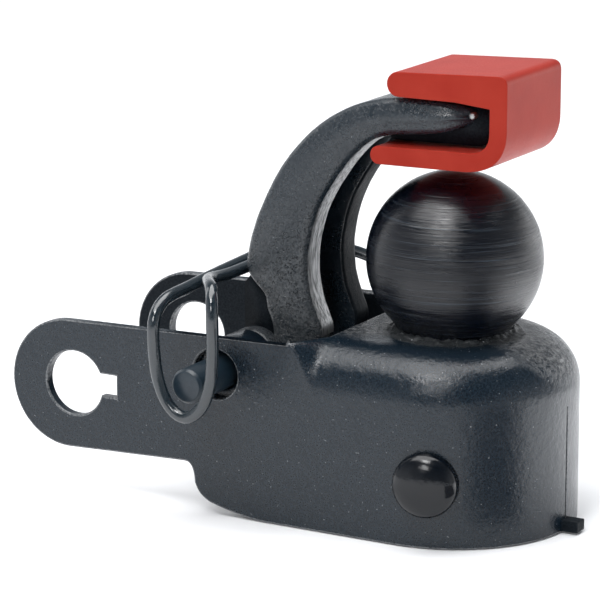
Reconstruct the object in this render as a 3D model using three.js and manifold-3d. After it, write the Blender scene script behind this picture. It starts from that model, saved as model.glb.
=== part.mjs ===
// Ball hitch with a keeper arm: a pressed steel housing with two mounting ears carries a 50 mm
// ball on top. A curved keeper arm, hinged on a cross pin between the ears, reaches over the ball.
// Units are millimetres. X runs from the ears to the nose, Y across the width and Z up.
// Shapes are drawn about the ball's axis, and the last lines move the origin to the middle of the base.
import * as THREE from "three";
import { mergeVertices } from "three/addons/utils/BufferGeometryUtils.js";
import Module from "manifold-3d";

// ---------- driving dimensions ----------
const GAP = 0.3; // clearance between pieces that touch
const BALL_R = 25;
const BALL_Z = 74.5;

const HALF_W = 35.7; // housing, to the outer faces of its side walls
const SHEET = 3.3;
const TOP_Z = 53.6;
const FILLET = 14; // outer rounding between the top plate and the walls
const TOP_END_X = -27; // where the top plate stops and the bare ears go on
const INNER_W = HALF_W - SHEET;

const EAR_TILT = 0.035; // the ears' edges rise a little towards the nose
const EAR_X = -107.5;
const EAR_Z = 31.9;
const EAR_R = 19;
const EAR_HOLE = { x: -105, z: 32.4, r: 9.5 };
const KEY_NOTCH = { x: -90.7, z: 33, h: 6.4 }; // right end, middle height and height
const PIN_HOLE_R = 7.2;
const HEEL = { x: -42, toeX: -59.5, toeZ: 3.2, stepX: -64.8, stepZ: 8.5 };

const PIN = { x: -57.3, z: 41.3, r: 5, tipY: -51.5, headY: 38.4, headR: 6.5, headEnd: 53 };
const BAIL_Y = 47; // the bail's hinge line through the pin's head
const BAIL_R = 1.75;

const RIVET = { x: 9.3, z: 18.5, r: 5, headR: 9.2, headH: 4.4, lean: 0.23 };
const RIVET_TUBE_R = 7;
const SHANK_R = 10;

const ARM_HALF = 16.75;
const CHANNEL_HALF = 6.35;
const ARM_WEB = 6;
const HUB_R = 9;
const CAP_HALF = 17.05;
const CAP_PIN = { x: 11.2, z: 117.9, r: 1 };
const SEAM_TOP = 36;
const TAB = { end: 40.6, half: 2.5, z0: 0.4, z1: 3.6 };

const STEPS = 40; // segments round a full circle

// ---------- materials ----------
const finish = (color, roughness, metalness) =>
  new THREE.MeshStandardMaterial({ color, roughness, metalness });
const blackPaint = finish(0x33383c, 0.45, 0.4);
const blackSteel = finish(0x1b1d20, 0.4, 0.6);
const zincSteel = finish(0x8b8f92, 0.4, 0.9);
const redPlastic = finish(0xbe3a2e, 0.45, 0);

// ---------- solids ----------
const wasm = await Module();
wasm.setup();

function solid(geometry) {
  const bare = geometry.clone();
  bare.deleteAttribute("normal");
  bare.deleteAttribute("uv");
  const merged = mergeVertices(bare, 1e-4);
  return new wasm.Manifold(
    new wasm.Mesh({
      numProp: 3,
      vertProperties: merged.attributes.position.array,
      triVerts: new Uint32Array(merged.index.array),
    }),
  );
}

function geometryOf(body) {
  const mesh = body.getMesh();
  const geometry = new THREE.BufferGeometry();
  geometry.setAttribute("position", new THREE.BufferAttribute(mesh.vertProperties, 3));
  geometry.setIndex(new THREE.BufferAttribute(mesh.triVerts, 1));
  return geometry;
}

const shapeOf = (points) => new THREE.Shape(points.map(([x, y]) => new THREE.Vector2(x, y)));

// An outline drawn in X and Z, extruded from y0 to y1.
function sidePlate(shape, y0, y1, bevel = 0) {
  const geometry = new THREE.ExtrudeGeometry(shape, {
    depth: y1 - y0 - 2 * bevel,
    bevelEnabled: bevel > 0,
    bevelSize: bevel,
    bevelThickness: bevel,
    bevelOffset: -bevel,
    bevelSegments: 3,
    curveSegments: 12,
  });
  return geometry.rotateX(Math.PI / 2).translate(0, y1 - bevel, 0);
}

// An outline drawn in X and Y, extruded from z0 to z1.
const floorPlate = (shape, z0, z1) =>
  new THREE.ExtrudeGeometry(shape, { depth: z1 - z0, bevelEnabled: false, curveSegments: 24 })
    .translate(0, 0, z0);

const box = (x0, x1, y0, y1, z0, z1) =>
  new THREE.BoxGeometry(x1 - x0, y1 - y0, z1 - z0)
    .translate((x0 + x1) / 2, (y0 + y1) / 2, (z0 + z1) / 2);

// A turned piece about a line along +Z through x, 0.
const turned = (profile, x = 0, steps = STEPS) =>
  new THREE.LatheGeometry(profile.map(([r, z]) => new THREE.Vector2(r, z)), steps)
    .rotateX(Math.PI / 2).translate(x, 0, 0);

// A turned piece about a line along +Y through x, z: its profile is [radius, y].
const crossTurned = (profile, x, z, steps = STEPS) =>
  new THREE.LatheGeometry(profile.map(([r, y]) => new THREE.Vector2(r, y)), steps)
    .translate(x, 0, z);

const rod = (r, y0, y1, x, z, steps = STEPS) =>
  crossTurned([[0, y0], [r, y0], [r, y1], [0, y1]], x, z, steps);
const tube = (inner, outer, y0, y1, x, z) =>
  crossTurned([[inner, y0], [outer, y0], [outer, y1], [inner, y1], [inner, y0]], x, z);
const ring = (inner, outer, z0, z1) =>
  turned([[inner, z0], [outer, z0], [outer, z1], [inner, z1], [inner, z0]]);

const part = new THREE.Group();

function add(name, geometry, material) {
  const mesh = new THREE.Mesh(geometry, material);
  mesh.name = name;
  part.add(mesh);
}

// ---------- housing ----------
// How far the top edge's rounding has opened at x: a tight corner by the ears, full by the ball.
const FILLET_FULL_X = -23.5;
const TIGHTEST = 0.12; // share of the full rounding at the top plate's end
const filletShare = (x) =>
  TIGHTEST + (1 - TIGHTEST) * THREE.MathUtils.smoothstep(x, TOP_END_X, FILLET_FULL_X);

// A block with a half-round nose about the ball's axis and a rounded top edge.
function noseBlock(halfWidth, fillet, left, bottom, top) {
  const arcSteps = 28;
  const filletSteps = 7;
  const straightSteps = 4;
  const columns = []; // x, the direction out of the wall, and the rounding's radius
  const straight = (side) => (i) => {
    const x = left + ((FILLET_FULL_X - left) * i) / straightSteps;
    return { x, out: [0, side], radius: fillet * filletShare(x) };
  };
  const steps = [...Array(straightSteps + 1).keys()];
  columns.push(...steps.map(straight(-1)));
  for (let i = 0; i <= arcSteps; i++) {
    const a = -Math.PI / 2 + (i / arcSteps) * Math.PI;
    columns.push({ x: 0, out: [Math.cos(a), Math.sin(a)], radius: fillet });
  }
  columns.push(...steps.reverse().map(straight(1)));

  const position = [];
  const addRow = (inset, height) =>
    columns.forEach((c) => {
      const r = halfWidth - inset(c.radius);
      position.push(c.x + r * c.out[0], r * c.out[1], height(c.radius));
    });
  addRow(() => 0, () => bottom);
  for (let i = 0; i <= filletSteps; i++) {
    const a = (i / filletSteps) * (Math.PI / 2);
    addRow((f) => f * (1 - Math.cos(a)), (f) => top - f + f * Math.sin(a));
  }
  const count = columns.length;
  const index = [];
  for (let j = 0; j <= filletSteps; j++)
    for (let i = 0; i < count; i++) {
      const a = j * count + i;
      const b = j * count + ((i + 1) % count);
      index.push(a, b, b + count, a, b + count, a + count);
    }
  const last = (filletSteps + 1) * count;
  for (let i = 0; i + 1 < count / 2; i++) {
    const far = count - 1 - i;
    index.push(i, far, i + 1);
    index.push(last + i, last + i + 1, last + far);
    if (i + 1 < far - 1) {
      index.push(i + 1, far, far - 1);
      index.push(last + i + 1, last + far - 1, last + far);
    }
  }
  const geometry = new THREE.BufferGeometry();
  geometry.setAttribute("position", new THREE.Float32BufferAttribute(position, 3));
  geometry.setIndex(index);
  return geometry;
}

// Height of an ear's edge that passes z0 over the ear's round end.
const earEdge = (x, side) =>
  EAR_Z + side * EAR_R * Math.cos(EAR_TILT) + (x - EAR_X) * Math.tan(EAR_TILT);

// One wall with its ear, from the round end to the middle of the housing.
function earShape() {
  const shape = new THREE.Shape();
  const overlapX = -10;
  shape.moveTo(overlapX, 0);
  shape.lineTo(overlapX, TOP_Z - FILLET);
  shape.lineTo(TOP_END_X, TOP_Z - FILLET);
  shape.lineTo(TOP_END_X, TOP_Z - GAP);
  const start = Math.PI / 2 + EAR_TILT;
  shape.absarc(EAR_X, EAR_Z, EAR_R, start, start + Math.PI, false);
  shape.lineTo(HEEL.stepX - 3, earEdge(HEEL.stepX - 3, -1));
  shape.quadraticCurveTo(HEEL.stepX, earEdge(HEEL.stepX, -1), HEEL.stepX + 0.3, HEEL.stepZ);
  shape.quadraticCurveTo(HEEL.stepX + 1.5, HEEL.toeZ + 1.6, HEEL.toeX, HEEL.toeZ);
  shape.quadraticCurveTo(-50, 0.5, HEEL.x, 0);
  return shape;
}

const keyhole = box(
  EAR_HOLE.x, KEY_NOTCH.x, -HALF_W - 1, -INNER_W + 1,
  KEY_NOTCH.z - KEY_NOTCH.h / 2, KEY_NOTCH.z + KEY_NOTCH.h / 2,
);
const acrossRod = (r, x, z) => rod(r, -HALF_W - 5, HALF_W + 5, x, z);
const noseInside = noseBlock(INNER_W, FILLET - SHEET, TOP_END_X - 1, -1, TOP_Z - SHEET);
const seam = box(HALF_W - 0.5, HALF_W + 1, -0.35, 0.35, -1, SEAM_TOP);
const tabSlot = box(
  INNER_W - 2, HALF_W + 1, -TAB.half - GAP, TAB.half + GAP, -1, TAB.z1 + GAP,
);

const housing = solid(noseBlock(HALF_W, FILLET, TOP_END_X, 0, TOP_Z))
  .subtract(solid(noseInside))
  .add(solid(sidePlate(earShape(), -HALF_W, -INNER_W)))
  .add(solid(sidePlate(earShape(), INNER_W, HALF_W)))
  .subtract(solid(acrossRod(EAR_HOLE.r, EAR_HOLE.x, EAR_HOLE.z)))
  .subtract(solid(keyhole))
  .subtract(solid(acrossRod(PIN_HOLE_R, PIN.x, PIN.z)))
  .subtract(solid(acrossRod(RIVET.r + GAP, RIVET.x, RIVET.z)))
  .subtract(solid(turned([[0, TOP_Z - 8], [SHANK_R + GAP, TOP_Z - 8], [SHANK_R + GAP, TOP_Z + 5],
    [0, TOP_Z + 5]])))
  .subtract(solid(seam))
  .subtract(solid(tabSlot));
add("housing_shell", geometryOf(housing), blackPaint);

// The backing plate lies under the top plate and takes the pull of the ball.
const BACK = { z1: TOP_Z - SHEET - GAP, thick: 5, left: -24, half: 21.5 };
const backShape = new THREE.Shape();
backShape.moveTo(BACK.left, -BACK.half);
backShape.absarc(0, 0, BACK.half, -Math.PI / 2, Math.PI / 2, false);
backShape.lineTo(BACK.left, BACK.half);
const backHole = new THREE.Path();
backHole.absarc(0, 0, SHANK_R + GAP, 0, 2 * Math.PI, true);
backShape.holes.push(backHole);
add("top_backing_plate", floorPlate(backShape, BACK.z1 - BACK.thick, BACK.z1), blackPaint);

// The floor plate follows the nose from inside, and its tab stands out through the seam.
const floorR = INNER_W - GAP;
const floorX = 13;
const floorAngle = Math.acos(floorX / floorR);
const tabAngle = Math.asin(TAB.half / floorR);
const floorShape = new THREE.Shape();
floorShape.moveTo(floorX, -floorR * Math.sin(floorAngle));
floorShape.absarc(0, 0, floorR, -floorAngle, -tabAngle, false);
floorShape.lineTo(TAB.end, -TAB.half);
floorShape.lineTo(TAB.end, TAB.half);
floorShape.absarc(0, 0, floorR, tabAngle, floorAngle, false);
add("nose_floor_plate", floorPlate(floorShape, TAB.z0, TAB.z1), blackPaint);

// ---------- ball and its fastening ----------
const NECK = { r: 16.5, z: TOP_Z + GAP, blendZ: 59 };
const STACK_TOP = BACK.z1 - BACK.thick - GAP;
const WASHER_H = 3;
const SPRING_H = 4;
const NUT_H = 10;
const NUT_CORNER_R = 17.3; // 30 across the flats
const SPRING_TOP = STACK_TOP - WASHER_H - GAP;
const NUT_TOP = SPRING_TOP - SPRING_H - GAP;
const SHANK_END = NUT_TOP - NUT_H - 0.6;

function ballProfile() {
  const chamfer = 1.5;
  const profile = [
    [0, SHANK_END], [SHANK_R - chamfer, SHANK_END], [SHANK_R, SHANK_END + chamfer],
    [SHANK_R, NECK.z], [NECK.r, NECK.z], [NECK.r, NECK.z + 1.2], [NECK.r + 1, NECK.z + 2.4],
  ];
  const from = Math.asin((NECK.blendZ - BALL_Z) / BALL_R);
  const steps = 22;
  for (let i = 0; i < steps; i++) {
    const a = from + (i / steps) * (Math.PI / 2 - from);
    profile.push([BALL_R * Math.cos(a), BALL_Z + BALL_R * Math.sin(a)]);
  }
  profile.push([0, BALL_Z + BALL_R]);
  return profile;
}
add("hitch_ball", turned(ballProfile(), 0, 48), blackSteel);
add("ball_flat_washer", ring(SHANK_R + GAP, 18.5, STACK_TOP - WASHER_H, STACK_TOP), zincSteel);

const springRing = solid(ring(SHANK_R + GAP, 15.5, SPRING_TOP - SPRING_H, SPRING_TOP));
const springSplit = box(8, 18, -0.8, 0.8, SPRING_TOP - 6, SPRING_TOP + 2);
add("ball_spring_washer", geometryOf(springRing.subtract(solid(springSplit))), zincSteel);

const nutShape = shapeOf(
  [0, 1, 2, 3, 4, 5].map((i) => [
    NUT_CORNER_R * Math.cos((i * Math.PI) / 3),
    NUT_CORNER_R * Math.sin((i * Math.PI) / 3),
  ]),
);
const nutHole = new THREE.Path();
nutHole.absarc(0, 0, SHANK_R + GAP, 0, 2 * Math.PI, true);
nutShape.holes.push(nutHole);
add("ball_nut", floorPlate(nutShape, NUT_TOP - NUT_H, NUT_TOP), zincSteel);

// ---------- cross rivet ----------
// Each head is a dome with a skirt. It leans with the nose's curve, and its underside follows it.
const RIVET_WALL_Y = Math.sqrt(HALF_W ** 2 - RIVET.x ** 2);
function rivetHead(side, radius) {
  const rim = 1.2;
  const skirt = 6;
  const steps = 6;
  const profile = [[0, rim + RIVET.headH]];
  for (let i = 1; i <= steps; i++) {
    const a = (i / steps) * (Math.PI / 2);
    profile.push([radius * Math.sin(a), rim + RIVET.headH * Math.cos(a)]);
  }
  profile.push([radius, -skirt], [0, -skirt]);
  const dome = crossTurned(profile.reverse(), 0, 0)
    .rotateZ(side > 0 ? -RIVET.lean : Math.PI + RIVET.lean)
    .translate(RIVET.x, side * RIVET_WALL_Y, RIVET.z);
  const block = noseBlock(HALF_W + GAP, FILLET, TOP_END_X, -5, TOP_Z);
  return solid(dome).subtract(solid(block));
}
const rivetShank = solid(rod(RIVET.r, -HALF_W, HALF_W, RIVET.x, RIVET.z));
const rivet = rivetShank.add(rivetHead(-1, RIVET.headR)).add(rivetHead(1, RIVET.headR - 1));
add("cross_rivet", geometryOf(rivet), blackSteel);
const tubeEnd = Math.sqrt(INNER_W ** 2 - (RIVET.x + RIVET_TUBE_R) ** 2) - GAP;
add(
  "rivet_spacer_tube",
  tube(RIVET.r + GAP, RIVET_TUBE_R, -tubeEnd, tubeEnd, RIVET.x, RIVET.z),
  zincSteel,
);

// ---------- keeper arm ----------
const ARM_BACK = [
  [-59.2, 67.5], [-56.5, 81.3], [-46.2, 100.8], [-26.4, 117.3], [-9, 121.5], [2, 121.6],
  [10.5, 120], [14.6, 117],
];
const ARM_BELLY = [
  [14.6, 117], [6, 113.2], [-5, 111.4], [-15, 110.2], [-24.3, 104.2], [-35.2, 88.8],
  [-39.4, 76], [-38.8, 62], [-34.8, 51.5],
];
const through = (points, steps) =>
  new THREE.SplineCurve(points.map(([x, z]) => new THREE.Vector2(x, z))).getPoints(steps);

function armShape() {
  const foot = [[-36, 42], [-44, 33.5], [PIN.x + 5, PIN.z - 7]];
  const heel = [[PIN.x + 6, 48], [-50.8, 51.5], [-52.6, 56], [-53.2, 60.3]];
  return new THREE.Shape([
    ...through(ARM_BACK, 22),
    ...through(ARM_BELLY, 24).slice(1),
    ...shapeOf([...foot, ...heel]).getPoints(),
  ]);
}

// The channel between the arm's two flanges opens towards the ball.
function channelShape() {
  const centre = new THREE.Vector2(-10, 75);
  const curve = through(ARM_BACK.slice(0, 5), 16).map((p) => {
    const inward = centre.clone().sub(p).normalize().multiplyScalar(ARM_WEB + 0.5);
    return p.clone().add(inward);
  });
  return new THREE.Shape([
    new THREE.Vector2(-46, 30),
    new THREE.Vector2(-46, 56),
    ...curve,
    new THREE.Vector2(-16, 100),
    new THREE.Vector2(-20, 60),
    new THREE.Vector2(-25, 30),
  ]);
}

// Seen from above, the arm's tip narrows to a rounded end.
function tipPlan() {
  const shape = new THREE.Shape();
  shape.moveTo(-80, -20);
  shape.lineTo(-2, -20);
  shape.lineTo(-2, -ARM_HALF);
  shape.bezierCurveTo(8, -ARM_HALF, 15, -13, 15, 0);
  shape.bezierCurveTo(15, 13, 8, ARM_HALF, -2, ARM_HALF);
  shape.lineTo(-2, 20);
  shape.lineTo(-80, 20);
  return shape;
}

// Inside the cap the middle of the tip fills the hollow up to the cap's inner wall.
function tipCoreShape() {
  const shape = new THREE.Shape();
  shape.moveTo(-15, 108.6);
  shape.lineTo(11, 109.2);
  shape.quadraticCurveTo(18.1, 109.6, 18.1, 114.8);
  shape.lineTo(18.1, 120.3);
  shape.lineTo(8, 121.4);
  shape.lineTo(-15, 118);
  return shape;
}

// Behind the heel a narrower lug fills the corner between the hub and the arm's back.
const LUG_HALF = 12;
const lugShape = shapeOf([[-61.9, PIN.z], [-50, 36], [-50, 66], [-59, 66], [-61.9, 62.5]]);

const TIP_CORE_HALF = 11;
const hub = rod(HUB_R, -ARM_HALF, ARM_HALF, PIN.x, PIN.z);
const pinBore = rod(PIN.r + GAP, -40, 40, PIN.x, PIN.z);
const keeperArm = solid(sidePlate(armShape(), -ARM_HALF, ARM_HALF))
  .intersect(solid(floorPlate(tipPlan(), 20, 130)))
  .add(solid(sidePlate(tipCoreShape(), -TIP_CORE_HALF, TIP_CORE_HALF)))
  .add(solid(sidePlate(lugShape, -LUG_HALF, LUG_HALF)))
  .add(solid(hub))
  .subtract(solid(sidePlate(channelShape(), -CHANNEL_HALF, CHANNEL_HALF)))
  .subtract(solid(pinBore))
  .subtract(solid(rod(CAP_PIN.r + GAP, -20, 20, CAP_PIN.x, CAP_PIN.z, 16)));
add("keeper_arm", geometryOf(keeperArm), blackPaint);
add("cap_pin", rod(CAP_PIN.r, -13, 13, CAP_PIN.x, CAP_PIN.z, 16), zincSteel);

// The cap is a thick U that closes over the arm's tip, open to the back and at both sides.
function capShape() {
  const shape = new THREE.Shape();
  shape.moveTo(-9.5, 122);
  shape.lineTo(8, 122);
  shape.lineTo(18.6, 121);
  shape.lineTo(18.6, 114.5);
  shape.quadraticCurveTo(18.6, 108.7, 12.5, 108.5);
  shape.lineTo(-15.5, 107.8);
  shape.absarc(-15.5, 105.2, 2.6, Math.PI / 2, (Math.PI * 3) / 2, false);
  shape.lineTo(10, 103);
  shape.quadraticCurveTo(23.9, 103.2, 23.9, 115.3);
  shape.lineTo(23.9, 127.5);
  shape.quadraticCurveTo(23.9, 130.3, 21, 130.3);
  shape.lineTo(-9.3, 129);
  shape.absarc(-9.5, 125.5, 3.5, Math.PI / 2, (Math.PI * 3) / 2, false);
  return shape;
}
add("keeper_cap", sidePlate(capShape(), -CAP_HALF, CAP_HALF, 0.8), redPlastic);

// ---------- lock pin and bail ----------
const spacer = (y0, y1) => tube(PIN.r + GAP, 9, y0, y1, PIN.x, PIN.z);
add("front_spacer", spacer(-INNER_W + GAP, -ARM_HALF - GAP), blackSteel);
add("rear_spacer", spacer(ARM_HALF + GAP, INNER_W - GAP), blackSteel);

const pinProfile = [
  [0, PIN.tipY], [PIN.r - 0.7, PIN.tipY], [PIN.r, PIN.tipY + 0.9], [PIN.r, PIN.headY],
  [PIN.headR - 0.8, PIN.headY], [PIN.headR, PIN.headY + 0.8], [PIN.headR, PIN.headEnd - 1.5],
  [PIN.headR - 1.5, PIN.headEnd], [0, PIN.headEnd],
];
const crossBore = new THREE.CylinderGeometry(BAIL_R + GAP, BAIL_R + GAP, 30, 20)
  .rotateZ(Math.PI / 2)
  .translate(PIN.x, BAIL_Y, PIN.z);
const lockPin = solid(crossTurned(pinProfile, PIN.x, PIN.z)).subtract(solid(crossBore));
add("lock_pin", geometryOf(lockPin), blackSteel);
add(
  "pin_washer",
  tube(PIN.r + GAP, 10, HALF_W + GAP, PIN.headY - GAP, PIN.x, PIN.z),
  zincSteel,
);

// The wire starts in the pin's head, passes left of the arm and over both ears, hangs as a loop in
// front of the pin's tip, and comes back to the other side of the head.
const LEFT_X = -66;
const RIGHT_X = -62;
const LOOP_Y = -54.6;
const BAIL_ROUTE = [
  [PIN.x - 3, BAIL_Y, PIN.z], [PIN.x - 7, BAIL_Y, PIN.z], [-66.8, BAIL_Y, PIN.z + 0.8],
  [-67.6, BAIL_Y, PIN.z + 3.5], [-67.6, BAIL_Y, 58], [-67, 44, 65.5], [LEFT_X, 36, 68],
  [LEFT_X, -5, 67.1], [LEFT_X, -35, 65.6], [-65.7, -50, 64.3], [-65.5, LOOP_Y, 60.5],
  [-65.5, LOOP_Y, 50], [-64.1, LOOP_Y, 42.3], [-61.1, LOOP_Y, 36.3], [-56, LOOP_Y, 33.1],
  [-50.4, LOOP_Y, 36.6], [-47.4, LOOP_Y, 44], [-46.6, LOOP_Y, 52], [-46.7, LOOP_Y, 65.5],
  [-49, -51, 69.8], [-56, -41, 69.3], [-61.3, -31.5, 67.8], [RIGHT_X, -22, 66.8],
  [RIGHT_X, 18, 66.8], [-60, 26, 66.6], [-51.5, 38.5, 62.5], [-47.8, 45, 58],
  [-47, BAIL_Y, 53], [-47, BAIL_Y, PIN.z + 3.5], [-47.8, BAIL_Y, PIN.z + 0.8],
  [PIN.x + 7, BAIL_Y, PIN.z], [PIN.x + 3, BAIL_Y, PIN.z],
];
const wireSection = shapeOf(
  [0, 1, 2, 3, 4, 5, 6, 7].map((i) => [
    BAIL_R * Math.cos((i * Math.PI) / 4),
    BAIL_R * Math.sin((i * Math.PI) / 4),
  ]),
);
const bailPath = new THREE.CatmullRomCurve3(
  BAIL_ROUTE.map((p) => new THREE.Vector3(...p)), false, "centripetal",
);
const bailWire = new THREE.ExtrudeGeometry(wireSection, { steps: 130, extrudePath: bailPath });
add("bail_wire", bailWire, blackSteel);

// ---------- origin at the middle of the base ----------
part.updateMatrixWorld(true);
const bounds = new THREE.Box3().setFromObject(part, true);
part.position.set(
  -(bounds.min.x + bounds.max.x) / 2, -(bounds.min.y + bounds.max.y) / 2, -bounds.min.z,
);
export default part;
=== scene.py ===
# Looks of the ball hitch: fine meshes, procedural materials, studio floor, light and camera.
# Sizes are millimetres about the ball's axis, as in the CAD source. at() turns them into metres.
import math
import random

import bmesh
import bpy
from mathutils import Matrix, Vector, noise
from mathutils.geometry import tessellate_polygon


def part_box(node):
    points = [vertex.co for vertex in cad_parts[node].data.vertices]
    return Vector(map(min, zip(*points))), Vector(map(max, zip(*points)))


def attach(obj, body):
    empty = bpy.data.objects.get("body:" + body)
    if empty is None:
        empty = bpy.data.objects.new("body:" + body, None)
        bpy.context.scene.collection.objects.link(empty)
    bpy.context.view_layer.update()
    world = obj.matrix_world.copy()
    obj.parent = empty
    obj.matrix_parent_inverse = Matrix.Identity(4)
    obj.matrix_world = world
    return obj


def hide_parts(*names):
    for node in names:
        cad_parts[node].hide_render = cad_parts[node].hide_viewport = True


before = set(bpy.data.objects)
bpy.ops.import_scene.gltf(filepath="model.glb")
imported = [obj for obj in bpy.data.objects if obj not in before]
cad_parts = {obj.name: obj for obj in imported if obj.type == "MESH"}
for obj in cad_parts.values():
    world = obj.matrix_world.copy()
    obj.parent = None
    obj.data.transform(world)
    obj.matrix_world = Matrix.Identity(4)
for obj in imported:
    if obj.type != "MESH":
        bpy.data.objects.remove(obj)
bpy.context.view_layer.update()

MM = 0.001
ball_low, ball_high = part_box("hitch_ball")
AXIS_X = (ball_low[0] + ball_high[0]) / 2
AXIS_Y = (ball_low[1] + ball_high[1]) / 2


def at(x, y, z):
    return Vector((AXIS_X + x * MM, AXIS_Y + y * MM, z * MM))


# ---------- driving dimensions, in millimetres ----------
# ball, with its collar on the top plate and its shank through it
BALL_R = 25.0
BALL_Z = 74.5
NECK_TOP_Z = 59  # where the sphere ends and the neck begins
SHANK_R = 10
SHANK_END_Z = 26.4
COLLAR_R = 16.3
COLLAR_Z = 53.9
BEAD_R = 16.0
BEAD_REACH, BEAD_REACH_WAVE = 4.6, 1.8  # how far the weld bead spreads, and by how much that varies
BEAD_RISE, BEAD_ROUGH = 1.9, 0.75
# plates, washers and nut on the shank
SHANK_BORE_R = 10.3
BACKING_R = 21.5
BACKING_REAR_X = -24
BACKING_Z = (45, 50)
WASHER_R = 18.4
WASHER_Z = (41.7, 44.7)
NUT_CORNER_R = 17.3
NUT_Z = (27.2, 37.0)
# housing
HALF_W = 35.7
SHEET = 3.3
INNER_W = HALF_W - SHEET
TOP_Z = 53.6
TOP_END_X = -27.0  # the top plate's rear edge
FILLET = 14.0
FILLET_FULL_X = -24.5  # from here to the nose the top edge has its full rounding
CURL_X = -34.0  # where the ears' top edges start to curl in towards the top plate
SEAM_TOP = 36.0
SEAM_HALF = 0.3
SEAM_FROM_X = 30  # the seam's faces and edges are looked for in front of this
EDGE_BAND = 1.0  # width of the strip of faces along every cut edge
EDGE_ROUND = 0.55
SEAM_ROUND_SHARE = 0.35  # the seam's edges are rounded less, because the slit is narrow
FLOOR_Z = (0.4, 3.6)
FLOOR_REAR_X = 13
TAB_HALF = 2.5
TAB_END_X = 40.5
# ears
EAR_TILT = 0.035
EAR_X, EAR_Z, EAR_R = -107.5, 31.9, 19.0
EAR_HOLE_X, EAR_HOLE_Z, EAR_HOLE_R = -105.0, 32.4, 9.5
NOTCH_X, NOTCH_Z, NOTCH_H = -90.7, 33.0, 6.4
HEEL_X = -42.0
TOE_X, TOE_Z = -59.5, 3.2
STEP_X, STEP_Z = -64.8, 8.5
# cross rivet
RIVET_X, RIVET_Z = 9.3, 18.5
RIVET_HEAD_R, RIVET_HEAD_H = 9.2, 4.4
RIVET_SEAT = 1.2  # height of the head's rim over the wall
RIVET_SKIRT = -2.5  # the rim goes on into the wall, where the wall curves away
RIVET_LEAN = 0.23
RIVET_SHANK_R, RIVET_SHANK_HALF = 5, 31
RIVET_TUBE_R, RIVET_TUBE_HALF = 7, 27.6
# lock pin and what sits on it
PIN_X, PIN_Z, PIN_R, PIN_HOLE_R = -57.3, 41.3, 5.0, 7.2
PIN_BORE_R = PIN_R + 0.3
PIN_TIP_Y, PIN_HEAD_Y, PIN_END_Y = -51.5, 38.4, 53.0
PIN_HEAD_R = 6.5
PIN_WASHER_R = 10
PIN_WASHER_Y = (36, 38.1)
SPACER_R = 9
SPACER_Y = (17.05, 32.1)
# bail
BAIL_Y, BAIL_R = 47.0, 1.75
BAIL_LEFT_X, BAIL_RIGHT_X, BAIL_LOOP_Y = -66.0, -62.0, -54.6
# keeper arm and cap
ARM_HALF = 16.75
ARM_CROWN = 0.8  # how much the middle of each side of the arm stands out
ARM_WEB = 6.0  # what the channel leaves of the arm's depth
ARM_BACK_R, ARM_EDGE_R = 2.6, 3.2  # rounding along the back and along the flanges
CHANNEL_EDGE_R, CHANNEL_FILLET = 1.0, 2.0
ARM_WAVE, ARM_WAVE_RATE = 0.10, 0.35  # height of the casting's waves, and how close they are
CHANNEL_HALF = 6.35
CHANNEL_FADE_X = (-24, -13)  # the channel runs out between these
TAPER_FROM_X, TAPER_LENGTH = -2, 16.6
CORE_HALF, LUG_HALF = 11, 12
STRIP_MARGIN = 2.6  # width of the flange's edge that is left out of the painted highlight strip
# the painted highlight on the front flange's belly starts at this height
HIGHLIGHT_FROM_Z = 50
BELLY_END_X = -15
HUB_R, HUB_CHAMFER = 9.0, 0.8
CAP_HALF = 17.05
CAP_PIN_X, CAP_PIN_Z, CAP_PIN_R, CAP_PIN_HALF = 11.2, 117.9, 1, 12.9


# ---------- mesh helpers ----------
def piece(name, bm, material, body, nodes=()):
    """Makes an object from bm, whose vertices are in millimetres, and ties it to the frame."""
    for v in bm.verts:
        v.co = at(*v.co)
    bmesh.ops.recalc_face_normals(bm, faces=bm.faces)
    mesh = bpy.data.meshes.new(name)
    bm.to_mesh(mesh)
    bm.free()
    mesh.polygons.foreach_set("use_smooth", [True] * len(mesh.polygons))
    obj = bpy.data.objects.new(name, mesh)
    bpy.context.scene.collection.objects.link(obj)
    mesh.materials.append(material)
    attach(obj, body)
    if nodes:
        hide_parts(*nodes)
    return obj


def bevelled(obj, width, angle=35, segments=3):
    """Rounds the edges of obj that are sharper than angle."""
    mod = obj.modifiers.new("edge_round", "BEVEL")
    mod.width = width * MM
    mod.segments = segments
    mod.limit_method = "ANGLE"
    mod.angle_limit = math.radians(angle)
    mod.harden_normals = True
    mod.use_clamp_overlap = True


def catmull(points, per_span=8):
    """A centripetal Catmull-Rom curve through the points."""
    pts = [Vector(p) for p in points]
    pts = [2 * pts[0] - pts[1]] + pts + [2 * pts[-1] - pts[-2]]
    out = []
    for i in range(1, len(pts) - 2):
        p0, p1, p2, p3 = pts[i - 1 : i + 3]
        t0 = 0.0
        t1 = t0 + max((p1 - p0).length, 1e-6) ** 0.5
        t2 = t1 + max((p2 - p1).length, 1e-6) ** 0.5
        t3 = t2 + max((p3 - p2).length, 1e-6) ** 0.5
        for k in range(per_span):
            t = t1 + (t2 - t1) * k / per_span
            a1 = p0 * ((t1 - t) / (t1 - t0)) + p1 * ((t - t0) / (t1 - t0))
            a2 = p1 * ((t2 - t) / (t2 - t1)) + p2 * ((t - t1) / (t2 - t1))
            a3 = p2 * ((t3 - t) / (t3 - t2)) + p3 * ((t - t2) / (t3 - t2))
            b1 = a1 * ((t2 - t) / (t2 - t0)) + a2 * ((t - t0) / (t2 - t0))
            b2 = a2 * ((t3 - t) / (t3 - t1)) + a3 * ((t - t1) / (t3 - t1))
            out.append(b1 * ((t2 - t) / (t2 - t1)) + b2 * ((t - t1) / (t2 - t1)))
    out.append(pts[-2].copy())
    return out


def arc(cx, cz, r, start, end, steps):
    """Points along a circle about (cx, cz), from one angle to another."""
    return [
        (cx + r * math.cos(start + (end - start) * i / steps),
         cz + r * math.sin(start + (end - start) * i / steps))
        for i in range(steps + 1)
    ]


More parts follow.
